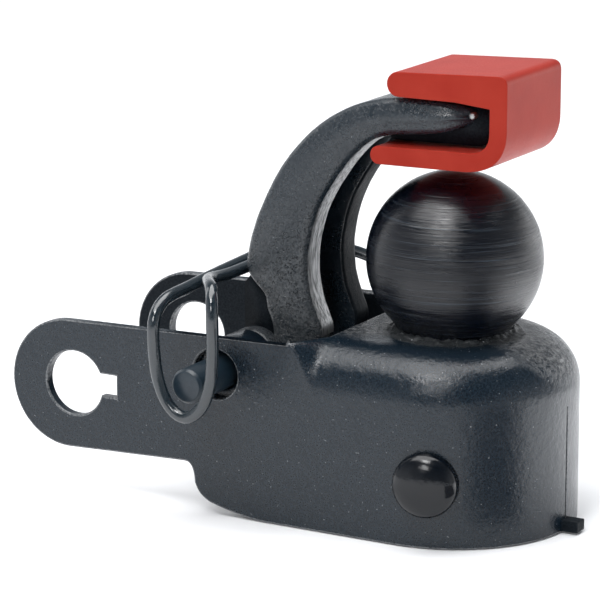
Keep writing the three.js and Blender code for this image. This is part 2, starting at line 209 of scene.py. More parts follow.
def quad_curve(a, b, c, steps=8):
    """Points after a along a quadratic curve with handle b, ending at c."""
    out = []
    for i in range(1, steps + 1):
        t = i / steps
        out.append(tuple((1 - t) ** 2 * a[k] + 2 * t * (1 - t) * b[k] + t * t * c[k] for k in (0, 1)))
    return out


def smoothstep(a, b, x):
    """0 up to a, 1 from b on, and a smooth rise between."""
    t = min(max((x - a) / (b - a), 0.0), 1.0)
    return t * t * (3 - 2 * t)


def skin(bm, rings, closed=True):
    """Quads between rings of vertices that have the same count."""
    for a, b in zip(rings, rings[1:]):
        n = len(a)
        for i in range(n if closed else n - 1):
            j = (i + 1) % n
            bm.faces.new((a[i], a[j], b[j], b[i]))


def lathe(bm, profile, to_point, steps=64):
    """Turns (radius, height) points; to_point places (radial a, radial b, height)."""
    rings = []
    poles = []
    for r, h in profile:
        if r < 1e-6:
            poles.append(bm.verts.new(to_point(0, 0, h)))
            rings.append(None)
            continue
        ring = [
            bm.verts.new(to_point(r * math.cos(2 * math.pi * i / steps),
                                  r * math.sin(2 * math.pi * i / steps), h))
            for i in range(steps)
        ]
        rings.append(ring)
    body = [r for r in rings if r]
    skin(bm, body)
    if rings[0] is None:
        for i in range(steps):
            bm.faces.new((poles[0], body[0][i], body[0][(i + 1) % steps]))
    if rings[-1] is None:
        for i in range(steps):
            bm.faces.new((poles[-1], body[-1][(i + 1) % steps], body[-1][i]))


def along_y(x, z):
    """Places turned points about a line along Y."""
    return lambda a, b, h: (x + a, h, z + b)


def along_z(a, b, h):
    """Places turned points, or a plate that lies flat, about the ball's axis."""
    return (a, b, h)


def upright(a, b, h):
    """Places a plate that stands along X."""
    return (a, h, b)


def tube_profile(inner, outer, lo, hi, chamfer=0.3):
    """The closed section of a tube or washer, for lathe()."""
    c = chamfer
    return [
        (inner, lo + c), (inner + c, lo), (outer - c, lo), (outer, lo + c),
        (outer, hi - c), (outer - c, hi), (inner + c, hi), (inner, hi - c), (inner, lo + c),
    ]


def prism(outline, lo, hi, to_point, holes=()):
    """A plate with the outline and holes, from lo to hi across its thickness."""
    bm = bmesh.new()
    loops = [list(outline)] + [list(h) for h in holes]
    flat = [p for loop in loops for p in loop]
    bottom = [bm.verts.new(to_point(p[0], p[1], lo)) for p in flat]
    top = [bm.verts.new(to_point(p[0], p[1], hi)) for p in flat]
    if holes:
        for tri in tessellate_polygon([[Vector((p[0], p[1], 0)) for p in loop] for loop in loops]):
            bm.faces.new([bottom[i] for i in tri])
            bm.faces.new([top[i] for i in reversed(tri)])
    else:
        bm.faces.new(bottom)
        bm.faces.new(list(reversed(top)))
    start = 0
    for loop in loops:
        n = len(loop)
        for i in range(n):
            a, b = start + i, start + (i + 1) % n
            bm.faces.new((bottom[a], bottom[b], top[b], top[a]))
        start += n
    return bm


# ---------- materials ----------
class Nodes:
    """A short way to write a material. Sizes of noise and bumps are in millimetres."""

    def __init__(self, name):
        self.material = bpy.data.materials.new(name)
        self.material.use_nodes = True
        self.tree = self.material.node_tree
        self.shader = self.tree.nodes["Principled BSDF"]
        self.coords = self.tree.nodes.new("ShaderNodeTexCoord").outputs["Object"]

    def link(self, a, b):
        self.tree.links.new(a, b)

    def noise(self, size_mm, detail=2.0, roughness=0.5, stretch=None):
        coords = self.coords
        if stretch:
            mapping = self.tree.nodes.new("ShaderNodeMapping")
            mapping.inputs["Scale"].default_value = stretch
            self.link(coords, mapping.inputs["Vector"])
            coords = mapping.outputs["Vector"]
        node = self.tree.nodes.new("ShaderNodeTexNoise")
        node.inputs["Scale"].default_value = 1 / (size_mm * MM)
        node.inputs["Detail"].default_value = detail
        node.inputs["Roughness"].default_value = roughness
        self.link(coords, node.inputs["Vector"])
        return node.outputs["Fac"]

    def ramp(self, value, stops):
        node = self.tree.nodes.new("ShaderNodeValToRGB")
        ramp = node.color_ramp
        while len(ramp.elements) < len(stops):
            ramp.elements.new(0.5)
        for element, (pos, color) in zip(ramp.elements, stops):
            element.position = pos
            element.color = (*color, 1) if isinstance(color, tuple) else (color, color, color, 1)
        self.link(value, node.inputs["Fac"])
        return node.outputs["Color"]

    def span(self, value, lo, hi, from_lo=0.3, from_hi=0.7):
        """Maps value from its own range to lo..hi, and holds it there outside that range."""
        node = self.tree.nodes.new("ShaderNodeMapRange")
        for key, number in (("From Min", from_lo), ("From Max", from_hi), ("To Min", lo), ("To Max", hi)):
            node.inputs[key].default_value = number
        self.link(value, node.inputs["Value"])
        return node.outputs["Result"]

    def math(self, op, a, b):
        node = self.tree.nodes.new("ShaderNodeMath")
        node.operation = op
        for socket, item in zip(node.inputs, (a, b)):
            if isinstance(item, (int, float)):
                socket.default_value = item
            else:
                self.link(item, socket)
        return node.outputs["Value"]

    def distance(self, point):
        node = self.tree.nodes.new("ShaderNodeVectorMath")
        node.operation = "DISTANCE"
        self.link(self.coords, node.inputs[0])
        node.inputs[1].default_value = point
        return node.outputs["Value"]

    def mix(self, factor, a, b):
        node = self.tree.nodes.new("ShaderNodeMix")
        node.data_type = "RGBA"
        self.link(factor, node.inputs["Factor"])
        colour_a = [s for s in node.inputs if s.name == "A" and s.type == "RGBA"][0]
        colour_b = [s for s in node.inputs if s.name == "B" and s.type == "RGBA"][0]
        for socket, item in ((colour_a, a), (colour_b, b)):
            if isinstance(item, tuple):
                socket.default_value = (*item, 1)
            else:
                self.link(item, socket)
        return [s for s in node.outputs if s.type == "RGBA"][0]

    def bump(self, height, distance_mm, strength=1.0, under=None):
        node = self.tree.nodes.new("ShaderNodeBump")
        node.inputs["Strength"].default_value = strength
        node.inputs["Distance"].default_value = distance_mm * MM
        self.link(height, node.inputs["Height"])
        if under is not None:
            self.link(under, node.inputs["Normal"])
        return node.outputs["Normal"]

    def set(self, **values):
        """Fills sockets of the shader, with _ for a space, and hands back the material."""
        for key, value in values.items():
            socket = self.shader.inputs[key.replace("_", " ")]
            if hasattr(value, "is_linked"):
                self.link(value, socket)
            else:
                socket.default_value = value
        return self.material


# pale specks, partly dust and partly painted glints
DUST_AND_GLINT = (0.5, 0.52, 0.54)
PALE_CAST = (0.085, 0.092, 0.097)
PALE_SPATTER = (0.12, 0.125, 0.13)
SPATTER_SPOTS = ((-23, -8), (26, 0), (14, 24))  # on the top plate, about the ball's axis


def black_paint(name, dark, light, rough, peel=0.05, grain=0.02, pits=0.0, specks=0.0, spatter=0.0,
                gloss=0.58):
    """Semi-gloss black over steel, with orange peel and a fine grain.

    pits roughens the low front of the arm and makes it paler towards the bottom, specks scatters pale
    specks, partly dust and partly painted glints, and spatter raises lumps in three patches on the top
    plate.
    """
    n = Nodes(name)
    peel_noise = n.noise(2.0, 3, 0.6)
    grain_noise = n.noise(0.6, 4, 0.7)
    normal = n.bump(peel_noise, peel)
    normal = n.bump(grain_noise, grain, under=normal)
    if pits:
        place = n.tree.nodes.new("ShaderNodeSeparateXYZ")
        n.link(n.coords, place.inputs["Vector"])
        low_down = n.span(place.outputs["Z"], 1.0, 0.12, 0.056, 0.090)
        front = n.span(place.outputs["Y"], 1.0, 0.1, AXIS_Y - 0.013, AXIS_Y - 0.004)
        low_front = n.math("MULTIPLY", low_down, front)
        pit = n.ramp(n.noise(0.9, 2, 0.6), [(0.0, 0.0), (0.38, 0.0), (0.46, 1.0)])
        normal = n.bump(n.math("MULTIPLY", pit, low_front), pits, under=normal)
        light = n.mix(low_front, light, PALE_CAST)
    colour = n.mix(n.span(grain_noise, 0, 1, 0.35, 0.68), dark, light)
    if spatter:
        patches = [n.span(n.distance(at(*spot, TOP_Z)), 1.0, 0.0, 0.007, 0.015)
                   for spot in SPATTER_SPOTS]
        by_ball = n.math("MAXIMUM", n.math("MAXIMUM", patches[0], patches[1]), patches[2])
        lumps = n.ramp(n.noise(1.5, 3, 0.65), [(0.0, 0.0), (0.42, 0.0), (0.6, 1.0)])
        lumps = n.math("MULTIPLY", lumps, by_ball)
        normal = n.bump(lumps, spatter, under=normal)
        colour = n.mix(lumps, colour, PALE_SPATTER)
    # pale specks: partly dust, partly painted glints
    if specks:
        speck = n.ramp(n.noise(0.7, 1, 0.4), [(0.0, 0.0), (0.755, 0.0), (0.78, 1.0)])
        colour = n.mix(n.math("MULTIPLY", speck, specks), colour, DUST_AND_GLINT)
    return n.set(Base_Color=colour, Roughness=n.span(n.noise(7, 4), rough - 0.05, rough + 0.09),
                 Normal=normal, Specular_IOR_Level=gloss)


def turned_black():
    """Black oxide over lathe marks, which are noise stretched round the ball."""
    n = Nodes("turned_black")
    lines = n.noise(0.36, 3, 0.75, stretch=(0.01, 0.01, 1))
    bands = n.noise(2.2, 2, 0.6, stretch=(0.02, 0.02, 1))
    wide = n.noise(4, 2, 0.5, stretch=(0.15, 0.15, 1))
    chatter = n.noise(1.3, 3, 0.6, stretch=(0.25, 0.25, 1))
    colour = n.mix(n.span(lines, 0, 1, 0.55, 0.72), (0.000, 0.001, 0.004), (0.028, 0.038, 0.050))
    normal = n.bump(bands, 0.25)
    normal = n.bump(lines, 0.12, under=normal)
    normal = n.bump(chatter, 0.05, under=normal)
    return n.set(Base_Color=colour, Roughness=n.span(wide, 0.17, 0.32), Normal=normal,
                 Specular_IOR_Level=0.5)


def painted_highlight_steel():
    """A painted highlight along the belly of the arm's front flange, drawn as pale streaked metal."""
    n = Nodes("painted_highlight_steel")
    streaks = n.noise(0.8, 3, 0.6, stretch=(1, 1, 0.12))
    colour = n.mix(n.span(streaks, 0, 1, 0.35, 0.65), (0.05, 0.055, 0.06), (0.42, 0.43, 0.44))
    return n.set(Base_Color=colour, Metallic=0.35, Roughness=n.span(streaks, 0.42, 0.28),
                 Normal=n.bump(streaks, 0.05))


def red_plastic():
    """Moulded plastic with a fine grain and a slight waviness."""
    n = Nodes("red_plastic")
    fine = n.noise(0.35, 4, 0.65)
    wide = n.noise(9, 3)
    colour = n.mix(n.span(wide, 0, 1), (0.28, 0.018, 0.011), (0.32, 0.026, 0.016))
    normal = n.bump(n.noise(2.5, 2), 0.03, under=n.bump(fine, 0.012))
    return n.set(Base_Color=colour, Roughness=n.span(fine, 0.32, 0.46), Normal=normal,
                 Specular_IOR_Level=0.18, Specular_Tint=(1.0, 0.65, 0.5, 1))


def zinc_steel():
    """Zinc plating with a faint spangle."""
    n = Nodes("zinc_steel")
    spangle = n.noise(3, 3, 0.6)
    colour = n.mix(n.span(spangle, 0, 1), (0.3, 0.31, 0.32), (0.5, 0.5, 0.49))
    return n.set(Base_Color=colour, Metallic=1.0, Roughness=n.span(n.noise(1.2, 4), 0.3, 0.5),
                 Normal=n.bump(n.noise(0.6, 3), 0.01))


PAINT = black_paint("black_paint", (0.001, 0.006, 0.012), (0.012, 0.020, 0.029), 0.17,
                    peel=0.2, grain=0.07, specks=0.3, spatter=0.7, gloss=0.45)
CAST = black_paint("cast_black", (0.001, 0.006, 0.012), (0.012, 0.020, 0.028), 0.25,
                   peel=0.2, grain=0.07, pits=0.5, specks=0.3)
ROUGH = black_paint("rough_cast", (0.006, 0.008, 0.010), (0.05, 0.055, 0.058), 0.28,
                    peel=0.3, grain=0.16, specks=1.0)
RIVET = black_paint("rivet_black", (0.001, 0.002, 0.004), (0.003, 0.005, 0.008), 0.12,
                    peel=0.08, grain=0.006, gloss=0.42)
PIN = black_paint("pin_steel", (0.006, 0.016, 0.026), (0.014, 0.026, 0.038), 0.32,
                  peel=0.02, grain=0.02)
WIRE = black_paint("wire_steel", (0.002, 0.008, 0.013), (0.018, 0.026, 0.033), 0.15,
                   peel=0.05, grain=0.02, gloss=0.9)
# pale colour of the housing's rounded rims: partly worn paint, partly painted highlight
EDGE = black_paint("edge_wear_and_highlight", (0.008, 0.016, 0.025), (0.22, 0.225, 0.23), 0.22,
                   peel=0.1, grain=0.1)
# darker, less glossy black: painted shade for the housing's inside, the arm's rear flange, core and lug,
# and the nose's floor plate
PAINTED_SHADE = black_paint("painted_shade_black", (0.001, 0.003, 0.006), (0.012, 0.016, 0.020), 0.5,
                   peel=0.2, grain=0.07, gloss=0.1)
HIGHLIGHT_STEEL = painted_highlight_steel()
BALL = turned_black()
RED = red_plastic()
ZINC = zinc_steel()


# ---------- housing ----------
def local_fillet(x):
    """The top edge's rounding: a tight corner by the ears, full by the ball."""
    return FILLET * (0.07 + 0.93 * smoothstep(CURL_X, FILLET_FULL_X, x))


def ear_edge(x, side):
    """Height of the ear's upper (side 1) or lower (side -1) edge at x."""
    return EAR_Z + side * EAR_R * math.cos(EAR_TILT) + (x - EAR_X) * math.tan(EAR_TILT)


def ear_outline():
    """The free edge of an ear, from the top plate's corner round the end to the heel."""
    points = [(CURL_X, TOP_Z - local_fillet(CURL_X))]
    start = math.pi / 2 + EAR_TILT
    box_gap = 0.02  # keeps the ear's end inside the CAD's box
    points += arc(EAR_X, EAR_Z, EAR_R - box_gap, start, start + math.pi, 64)
    low = (STEP_X - 3, ear_edge(STEP_X - 3, -1))
    points.append(low)
    step = (STEP_X + 0.3, STEP_Z)
    toe = (TOE_X, TOE_Z)
    points += quad_curve(low, (STEP_X, ear_edge(STEP_X, -1)), step)
    points += quad_curve(step, (STEP_X + 1.5, TOE_Z + 1.6), toe)
    points += quad_curve(toe, (-50, 0.5), (HEEL_X, 0))
    points.append((CURL_X, 0))
    return points


def keyhole():
    """The end hole with its notch towards the nose."""
    half = NOTCH_H / 2
    rise = NOTCH_Z - EAR_HOLE_Z
    top = math.asin((rise + half) / EAR_HOLE_R)
    low = math.asin((rise - half) / EAR_HOLE_R)
    points = arc(EAR_HOLE_X, EAR_HOLE_Z, EAR_HOLE_R, top, 2 * math.pi + low, 56)
    return points + [(NOTCH_X, NOTCH_Z - half), (NOTCH_X, NOTCH_Z + half)]


def circle(cx, cz, r, steps=56):
    return arc(cx, cz, r, 0, 2 * math.pi, steps)[:-1]


def set_in(points, distance, closed):
    """The outline moved sideways by distance, to its left as it is walked."""
    out = []
    n = len(points)
    for i, (x, z) in enumerate(points):
        a = points[(i - 1) % n] if closed or i else points[i]
        b = points[(i + 1) % n] if closed or i < n - 1 else points[i]
        before = Vector((x - a[0], z - a[1]))
        after = Vector((b[0] - x, b[1] - z))
        before, after = before.normalized(), after.normalized()
        if not before.length:
            before = after
        if not after.length:
            after = before
        normal = Vector((-(before + after).y, (before + after).x)).normalized()
        cosine = max(normal.dot(Vector((-before.y, before.x))), 0.5)
        out.append((x + normal.x * distance / cosine, z + normal.y * distance / cosine))
    return out


def wall_face(bm, side, column):
    """Fills the flat wall of one ear. column holds the body's vertices there, bottom first."""
    def vertex(p):
        return bm.verts.new((p[0], side * HALF_W, p[1]))

    outline = ear_outline()
    inner = set_in(outline, EDGE_BAND, False)
    edge = [column[-1]] + [vertex(p) for p in outline[1:-1]] + [column[0]]
    band = [column[-2]] + [vertex(p) for p in inner[1:-1]] + [column[1]]
    skin(bm, [edge, band], closed=False)
    loops = [column[1:-1] + band[1:-1]]
    end_hole = keyhole() if side < 0 else circle(EAR_HOLE_X, EAR_HOLE_Z, EAR_HOLE_R)
    for hole in (end_hole, circle(PIN_X, PIN_Z, PIN_HOLE_R)):
        rim = [vertex(p) for p in hole]
        ring = [vertex(p) for p in set_in(hole, -EDGE_BAND, True)]
        skin(bm, [rim, ring])
        loops.append(ring)
    flat = [v for loop in loops for v in loop]
    for tri in tessellate_polygon([[Vector((v.co.x, v.co.z, 0)) for v in loop] for loop in loops]):
        bm.faces.new([flat[i] for i in tri])


def housing():
    """The pressed body: a grid of columns from the front ear round the nose to the rear ear.

    Solidify gives the sheet its thickness and painted shade inside. Bevel rounds its free edges and
    paints them pale, partly worn paint and partly painted highlight.
    """
    inside_slot, highlight_slot = 1, 2
    seam = SEAM_HALF / HALF_W
    band = EDGE_BAND / HALF_W
    steps = 72
    angles = [-math.pi / 2 + math.pi * i / steps for i in range(steps + 1) if i != steps // 2]
    angles += [-seam - band, -seam, seam, seam + band]
    angles.sort()
    curl = [CURL_X, CURL_X + EDGE_BAND, -32, -31, -30, -29, -28]
    straight = curl + [TOP_END_X, TOP_END_X + EDGE_BAND, -25.2, FILLET_FULL_X, -20, -16, -12, -8, -4]
    walls = [0.0, EDGE_BAND] + [SEAM_TOP * i / 9 for i in range(1, 10)]
    bm = bmesh.new()
    columns = [(x, (0, -1), local_fillet(x)) for x in straight]
    columns += [(0, (math.cos(a), math.sin(a)), FILLET) for a in angles]
    columns += [(x, (0, 1), local_fillet(x)) for x in reversed(straight)]
    rows = 16
    grid = [
        [bm.verts.new((x + HALF_W * out[0], HALF_W * out[1], z)) for x, out, _ in columns]
        for z in walls
    ]
    # above the seam the wall's height and the rounding's radius change from column to column
    for share, drop in ((0.5, 0.5 * EDGE_BAND), (1.0, EDGE_BAND)):
        grid.append([
            bm.verts.new((x + HALF_W * out[0], HALF_W * out[1],
                          SEAM_TOP + (TOP_Z - f - SEAM_TOP) * share - drop))
            for x, out, f in columns
        ])
    for i in range(rows + 1):
        a = i / rows * math.pi / 2
        grid.append([
            bm.verts.new((x + (HALF_W - f * (1 - math.cos(a))) * out[0],
                          (HALF_W - f * (1 - math.cos(a))) * out[1],
                          TOP_Z - f + f * math.sin(a)))
            for x, out, f in columns
        ])
    skin(bm, grid, closed=False)
    slit = [
        f for f in bm.faces
        if all(v.co.x > SEAM_FROM_X and abs(v.co.y) < SEAM_HALF * 1.1 and v.co.z < SEAM_TOP + 0.1
               for v in f.verts)
    ]
    bmesh.ops.delete(bm, geom=slit, context="FACES_ONLY")
    top = grid[-1]
    count = len(top)
    for i in range(len(curl), count // 2 - 1):
        bm.faces.new((top[i], top[i + 1], top[count - 2 - i], top[count - 1 - i]))
    if count % 2:
        bm.faces.new((top[count // 2 - 1], top[count // 2], top[count // 2 + 1]))
    wall_rows = len(walls) + 3
    wall_face(bm, -1, [grid[i][0] for i in range(wall_rows)])
    wall_face(bm, 1, [grid[i][-1] for i in range(wall_rows)])
    rims = bm.edges.layers.float.new("bevel_weight_edge")
    for e in bm.edges:
        by_seam = all(v.co.x > SEAM_FROM_X and abs(v.co.y) < 1 for v in e.verts)
        e[rims] = (SEAM_ROUND_SHARE if by_seam else 1.0) if e.is_boundary else 0.0
    obj = piece("housing", bm, PAINT, "housing", ["housing_shell"])
    obj.data.materials.append(PAINTED_SHADE)
    obj.data.materials.append(EDGE)
    nose = max(obj.data.polygons, key=lambda p: p.center.x)
    if nose.normal.x < 0:
        obj.data.flip_normals()
    sheet = obj.modifiers.new("sheet", "SOLIDIFY")
    sheet.thickness = SHEET * MM
    sheet.offset = -1
    sheet.use_even_offset = True
    sheet.thickness_clamp = 0
    # the sheet's inner faces get painted shade
    sheet.material_offset = inside_slot
    sheet.material_offset_rim = 0
    edge = obj.modifiers.new("edge_round", "BEVEL")
    edge.limit_method = "WEIGHT"
    edge.width = EDGE_ROUND * MM
    edge.segments = 3
    edge.use_clamp_overlap = False
    edge.harden_normals = True
    # the rounded rims get a pale colour: partly worn paint, partly painted highlight
    edge.material = highlight_slot


def weld_bead():
    """The rough ring where the ball's collar meets the top plate."""
    bm = bmesh.new()
    steps, rows = 180, 12
    rings = []
    for j in range(rows + 1):
        t = j / rows
        ring = []
        for i in range(steps):
            a = 2 * math.pi * i / steps
            rough = noise.fractal(Vector((math.cos(a) * 9, math.sin(a) * 9, t * 5)), 0.6, 2.2, 5)
            wave = noise.noise(Vector((math.cos(a) * 2.3, math.sin(a) * 2.3, 3)))
            reach = BEAD_REACH + BEAD_REACH_WAVE * wave
            r = BEAD_R + reach * t
            lift = BEAD_RISE * (1 - t) ** 1.4 + BEAD_ROUGH * rough * (1 - t * t)
            z = TOP_Z - 0.15 + max(lift, 0.0) * (1 if j < rows else 0)
            ring.append(bm.verts.new((r * math.cos(a), r * math.sin(a), z)))
        rings.append(ring)
    skin(bm, rings)
    piece("ball_base_bead", bm, ROUGH, "housing")


def floor_plate():
    """The plate inside the nose, with the tab that shows at its foot."""
    r = INNER_W - 0.3
    rear = math.acos(FLOOR_REAR_X / r)
    tab = math.asin(TAB_HALF / r)
    outline = arc(0, 0, r, -rear, -tab, 20)
    outline += [(TAB_END_X, -TAB_HALF), (TAB_END_X, TAB_HALF)]
    outline += arc(0, 0, r, tab, rear, 20)
    bm = prism(outline, *FLOOR_Z, along_z)
    # the plate gets the darker, less glossy black of painted shade
    obj = piece("nose_floor", bm, PAINTED_SHADE, "housing", ["nose_floor_plate"])
    bevelled(obj, 0.4)


def backing_plate():
    """The plate under the top plate, which takes the nut's pull."""
    outline = [(BACKING_REAR_X, -BACKING_R)]
    outline += arc(0, 0, BACKING_R, -math.pi / 2, math.pi / 2, 32)
    outline.append((BACKING_REAR_X, BACKING_R))
    bm = prism(outline, *BACKING_Z, along_z, [circle(0, 0, SHANK_BORE_R)])
    obj = piece("backing_plate", bm, PAINT, "housing", ["top_backing_plate"])
    bevelled(obj, 0.4)


# ---------- ball ----------
def ball():
    """The turned ball, neck, collar and shank. Shallow grooves at random heights are lathe marks."""
    rng = random.Random(7)
    low_a = math.asin((NECK_TOP_Z - BALL_Z) / BALL_R)
    profile = [(0, SHANK_END_Z), (SHANK_R - 1.5, SHANK_END_Z), (SHANK_R, SHANK_END_Z + 1.5),
               (SHANK_R, COLLAR_Z), (COLLAR_R, COLLAR_Z), (16.5, 54.1), (16.6, 55.0), (17.2, 56.2)]
    rows = 260
    for i in range(rows):
        a = low_a + (math.pi / 2 - low_a) * i / rows
        groove = rng.choice((0, 0, 0, 0.02, 0.035)) * rng.random() if 0.03 < i / rows < 0.93 else 0
        r = BALL_R - groove
        profile.append((r * math.cos(a), BALL_Z + r * math.sin(a)))
    profile.append((0, BALL_Z + BALL_R))
    bm = bmesh.new()
    lathe(bm, profile, along_z, 128)
    piece("ball", bm, BALL, "housing", ["hitch_ball"])


def ball_stack():
    """The flat washer and the nut. The spring washer between them stays the CAD's."""
    flat = bmesh.new()
    lathe(flat, tube_profile(SHANK_BORE_R, WASHER_R, *WASHER_Z), along_z)
    obj = piece("flat_washer", flat, ZINC, "housing", ["ball_flat_washer"])
    bevelled(obj, 0.2)
    hexagon = [
        (NUT_CORNER_R * math.cos(i * math.pi / 3), NUT_CORNER_R * math.sin(i * math.pi / 3))
        for i in range(6)
    ]
    nut = prism(hexagon, *NUT_Z, along_z, [circle(0, 0, SHANK_BORE_R)])
    obj = piece("nut", nut, ZINC, "housing", ["ball_nut"])
    bevelled(obj, 0.9)


# ---------- rivet ----------
def rivet():
    """A shank across the nose with a domed head, square to the curved wall, on each end."""
    bm = bmesh.new()
    wall_y = math.sqrt(HALF_W ** 2 - RIVET_X ** 2)
    for side, radius in ((-1, RIVET_HEAD_R), (1, RIVET_HEAD_R - 1)):
        out = Vector((math.sin(RIVET_LEAN), side * math.cos(RIVET_LEAN), 0))
        across = Vector((math.cos(RIVET_LEAN), -side * math.sin(RIVET_LEAN), 0))
        base = Vector((RIVET_X, side * wall_y, RIVET_Z))

        def place(a, b, h, base=base, out=out, across=across):
            return base + across * a + Vector((0, 0, b)) + out * h

        steps = 24
        dome = [(0, RIVET_SEAT + RIVET_HEAD_H)]
        for i in range(1, steps + 1):
            a = i / steps * math.pi / 2
            dome.append((radius * math.sin(a), RIVET_SEAT + RIVET_HEAD_H * math.cos(a)))
        foot = RIVET_SKIRT - 0.5
        dome += [(radius, RIVET_SKIRT), (radius - 2, foot), (0, foot)]
        lathe(bm, dome, place, 96)
    shank = [(0, -RIVET_SHANK_HALF), (RIVET_SHANK_R, -RIVET_SHANK_HALF),
             (RIVET_SHANK_R, RIVET_SHANK_HALF), (0, RIVET_SHANK_HALF)]
    lathe(bm, shank, along_y(RIVET_X, RIVET_Z), 48)
    piece("rivet", bm, RIVET, "housing", ["cross_rivet"])
    tube = bmesh.new()
    section = tube_profile(RIVET_SHANK_R + 0.3, RIVET_TUBE_R, -RIVET_TUBE_HALF, RIVET_TUBE_HALF)
    lathe(tube, section, along_y(RIVET_X, RIVET_Z))
    obj = piece("rivet_tube", tube, ZINC, "housing", ["rivet_spacer_tube"])
    bevelled(obj, 0.2)


# ---------- keeper arm ----------
# Each station is a point on the arm's back and one on its belly, from the foot to the tip.
ARM_STATIONS = [
    ((-50.0, 33.0), (-42.5, 34.0)),
    ((-50.6, 42.0), (-37.2, 42.0)),
    ((-50.8, 51.5), (-34.9, 51.5)),
    ((-52.6, 56.5), (-36.6, 56.5)),
    ((-53.6, 60.6), (-38.3, 61.0)),
    ((-59.0, 66.8), (-39.3, 66.5)),
    ((-59.0, 72.5), (-39.5, 72.5)),
    ((-56.6, 81.3), (-38.2, 80.5)),
    ((-52.3, 91.0), (-35.4, 88.3)),
    ((-46.3, 100.8), (-31.2, 95.3)),
    ((-36.7, 110.8), (-25.4, 103.0)),
    ((-26.4, 117.2), (-19.8, 107.9)),
    ((-16.9, 120.3), (-14.0, 110.3)),
    ((-8.9, 121.4), (-7.0, 111.2)),
    ((1.0, 121.5), (0.5, 112.0)),
    ((7.0, 120.8), (6.2, 113.4)),
    ((11.5, 119.3), (10.8, 115.3)),
    ((14.3, 117.4), (14.3, 116.9)),
]


def arm_section(half, depth, channel):
    """Points (across, in from the back) of one section, whose channel is that deep."""
    back_r = min(ARM_BACK_R, depth * 0.4, half * 0.5)
    edge_r = min(ARM_EDGE_R, depth * 0.4, half * 0.3)
    inner_r = min(CHANNEL_EDGE_R, depth * 0.2)
    gap = min(CHANNEL_HALF, half * 0.4)
    floor = depth - channel
    side = half - min(ARM_CROWN, half * 0.1)
    one_side = [(half * 0.25, 0.0), (half * 0.5, 0.0)]
    one_side += arc(side - back_r, back_r, back_r, -math.pi / 2, 0, 6)
    for t, share in ((0.2, 0.7), (0.4, 1.0), (0.6, 1.0), (0.8, 0.7)):
        one_side.append((side + (half - side) * share, back_r + (depth - back_r - edge_r) * t))
    one_side += arc(side - edge_r, depth - edge_r, edge_r, 0, math.pi / 2, 5)
    one_side += arc(gap + inner_r, depth - inner_r, inner_r, math.pi / 2, math.pi, 4)
    one_side += [(gap, floor + channel * 0.5)]
    fillet = min(CHANNEL_FILLET, channel * 0.5)
    one_side += [(gap, floor + fillet), (gap - fillet * 0.3, floor + fillet * 0.3), (gap - fillet, floor)]
    other = [(-w, d) for w, d in reversed(one_side)]
    return [(0.0, 0.0)] + one_side + [(0.0, floor)] + other


def is_belly(point):
    """True on the side of the arm that faces the ball, below the cap."""
    nearest = min(
        ARM_STATIONS,
        key=lambda s: min((point.x - s[k][0]) ** 2 + (point.z - s[k][1]) ** 2 for k in (0, 1)),
    )
    to_back = (point.x - nearest[0][0]) ** 2 + (point.z - nearest[0][1]) ** 2
    to_belly = (point.x - nearest[1][0]) ** 2 + (point.z - nearest[1][1]) ** 2
    return to_belly < to_back and point.x < BELLY_END_X


